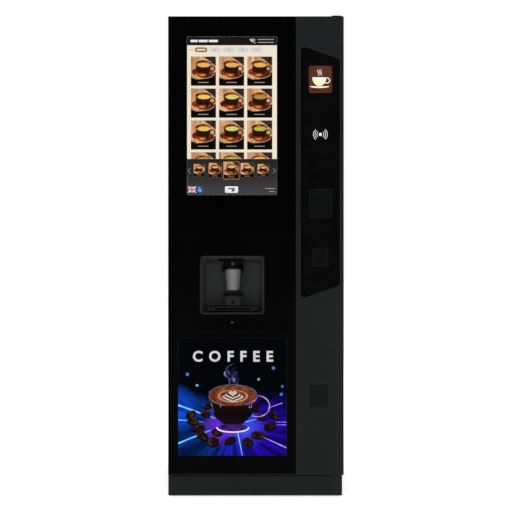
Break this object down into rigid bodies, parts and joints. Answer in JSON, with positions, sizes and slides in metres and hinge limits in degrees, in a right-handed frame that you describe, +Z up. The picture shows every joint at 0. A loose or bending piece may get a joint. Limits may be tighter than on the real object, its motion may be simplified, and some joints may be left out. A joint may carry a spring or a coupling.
{
  "type": "hot coffee vending machine",
  "caption": "Free-standing hot drinks vending machine with a hinged black glass door, tall touch screen, lit poster, cup bay and payment column.",
  "frame": {"origin": "middle of the footprint on the floor", "axes": "+Z up, front faces -Y, X across the width"},
  "size_m": [0.668, 0.74, 1.83],
  "materials": {
    "cabinet_paint": "fine textured powder coat, satin",
    "panel_paint": "matt powder coat",
    "zinc_sheet": "galvanised sheet, dull",
    "steel": "plated",
    "stainless": "brushed",
    "chrome": "polished",
    "aluminium": "cast, satin",
    "brass": "satin",
    "black_glass": "back-painted toughened glass, gloss",
    "screen": "lit display, gloss",
    "poster": "lit picture, gloss",
    "plate_brown": "printed, satin",
    "cover_plastic": "fine grain, matt",
    "bay_plastic": "moulded, satin",
    "black_plastic": "moulded, satin",
    "grey_plastic": "moulded, satin",
    "white_plastic": "moulded, satin",
    "canister_plastic": "translucent, gloss",
    "clear_plastic": "smoked clear, gloss",
    "paper": "coated board, satin",
    "lens": "dark domed lens, gloss",
    "seal": "foam rubber, matt",
    "feet": "moulded, matt",
    "hose": "silicone, satin"
  },
  "bodies": {
    "cabinet": {"plinth": "cabinet_paint", "base_frame": "zinc_sheet", "levelling_feet": "feet", "cabinet_shell": "cabinet_paint", "rear_panel": "zinc_sheet", "hinge_brackets": "cabinet_paint", "equipment_frame": "zinc_sheet", "cup_bay_liner": "bay_plastic", "spout_head": "black_plastic", "cup_platform": "black_plastic", "cup_dispenser": "grey_plastic", "boiler": "stainless", "water_pump": "brass", "control_box": "zinc_sheet", "water_tank": "clear_plastic", "waste_bucket": "grey_plastic", "grounds_bin": "black_plastic", "grounds_chute": "black_plastic", "grinder": "aluminium", "brewer_frame": "black_plastic", "powder_canisters": "canister_plastic", "mixing_bowls": "black_plastic", "mixer_drive": "stainless", "hoses": "hose", "connection_box": "black_plastic", "bean_hopper": "clear_plastic", "fan_frame": "black_plastic"},
    "door": {"door_frame": "cabinet_paint", "upper_glass": "black_glass", "middle_glass": "black_glass", "lower_glass": "black_glass", "touch_display": "screen", "poster_lightbox": "poster", "payment_panel": "panel_paint", "pictogram_plate": "plate_brown", "card_reader": "black_plastic", "note_slot_cover": "cover_plastic", "coin_slot_cover": "cover_plastic", "coin_return_pocket": "bay_plastic", "coin_changer": "black_plastic", "bay_rim": "bay_plastic", "presence_sensor": "lens", "door_back_cover": "zinc_sheet", "door_gasket": "seal", "lock_body": "chrome"},
    "lock_core": {"lock_core": "chrome"},
    "lock_bar": {"lock_bar": "steel"},
    "coin_flap": {"coin_return_flap": "cover_plastic"},
    "drip_tray": {"drip_tray": "bay_plastic"},
    "paper_cup": {"paper_cup": "paper"},
    "cup_turret": {"cup_turret": "grey_plastic"},
    "auger_1": {"auger_1": "white_plastic"},
    "auger_2": {"auger_2": "white_plastic"},
    "auger_3": {"auger_3": "white_plastic"},
    "canister_lid_1": {"canister_lid_1": "black_plastic"},
    "canister_lid_2": {"canister_lid_2": "black_plastic"},
    "canister_lid_3": {"canister_lid_3": "black_plastic"},
    "hopper_lid": {"hopper_lid": "black_plastic"},
    "brew_piston": {"brew_piston": "steel"},
    "fan_rotor": {"fan_rotor": "black_plastic"}
  },
  "joints": [
    {"name": "door_hinge", "type": "hinge", "parent": "cabinet", "child": "door", "pos_m": [0.308, -0.35, 0.95], "axis": [0, 0, 1], "range_deg": [0, 110]},
    {"name": "lock_turn", "type": "hinge", "parent": "door", "child": "lock_core", "pos_m": [-0.32, -0.335, 0.97], "axis": [1, 0, 0], "range_deg": [0, 90]},
    {"name": "lock_bar_slide", "type": "slide", "parent": "door", "child": "lock_bar", "axis": [0, 0, -1], "range_m": [0, 0.02]},
    {"name": "coin_flap_hinge", "type": "hinge", "parent": "door", "child": "coin_flap", "pos_m": [0.239, -0.366, 0.419], "axis": [1, 0, 0], "range_deg": [0, 35], "stiffness_Nm_per_rad": 0.02},
    {"name": "drip_tray_slide", "type": "slide", "parent": "cabinet", "child": "drip_tray", "axis": [0, -1, 0], "range_m": [0, 0.12]},
    {"name": "cup_slide", "type": "slide", "parent": "cabinet", "child": "paper_cup", "axis": [0, -1, 0], "range_m": [0, 0.18]},
    {"name": "cup_turret_turn", "type": "hinge", "parent": "cabinet", "child": "cup_turret", "pos_m": [-0.108, -0.172, 1], "axis": [0, 0, 1], "continuous": true},
    {"name": "auger_1_turn", "type": "hinge", "parent": "cabinet", "child": "auger_1", "pos_m": [-0.245, 0.11, 1.476], "axis": [0, 1, 0], "continuous": true},
    {"name": "auger_2_turn", "type": "hinge", "parent": "cabinet", "child": "auger_2", "pos_m": [-0.125, 0.11, 1.476], "axis": [0, 1, 0], "continuous": true},
    {"name": "auger_3_turn", "type": "hinge", "parent": "cabinet", "child": "auger_3", "pos_m": [-0.005, 0.11, 1.476], "axis": [0, 1, 0], "continuous": true},
    {"name": "canister_lid_1_hinge", "type": "hinge", "parent": "cabinet", "child": "canister_lid_1", "pos_m": [-0.245, 0.19, 1.644], "axis": [-1, 0, 0], "range_deg": [0, 60]},
    {"name": "canister_lid_2_hinge", "type": "hinge", "parent": "cabinet", "child": "canister_lid_2", "pos_m": [-0.125, 0.19, 1.644], "axis": [-1, 0, 0], "range_deg": [0, 60]},
    {"name": "canister_lid_3_hinge", "type": "hinge", "parent": "cabinet", "child": "canister_lid_3", "pos_m": [-0.005, 0.19, 1.644], "axis": [-1, 0, 0], "range_deg": [0, 60]},
    {"name": "hopper_lid_hinge", "type": "hinge", "parent": "cabinet", "child": "hopper_lid", "pos_m": [0.201, 0.19, 1.644], "axis": [-1, 0, 0], "range_deg": [0, 75]},
    {"name": "brew_piston_slide", "type": "slide", "parent": "cabinet", "child": "brew_piston", "axis": [0, 0, -1], "range_m": [0, 0.08]},
    {"name": "fan_turn", "type": "hinge", "parent": "cabinet", "child": "fan_rotor", "pos_m": [-0.18, 0.356, 1.69], "axis": [0, 1, 0], "continuous": true}
  ],
  "couplings": [
    {"joint": "lock_turn", "follows": "lock_bar_slide", "rad_per_m": 78.54}
  ]
}
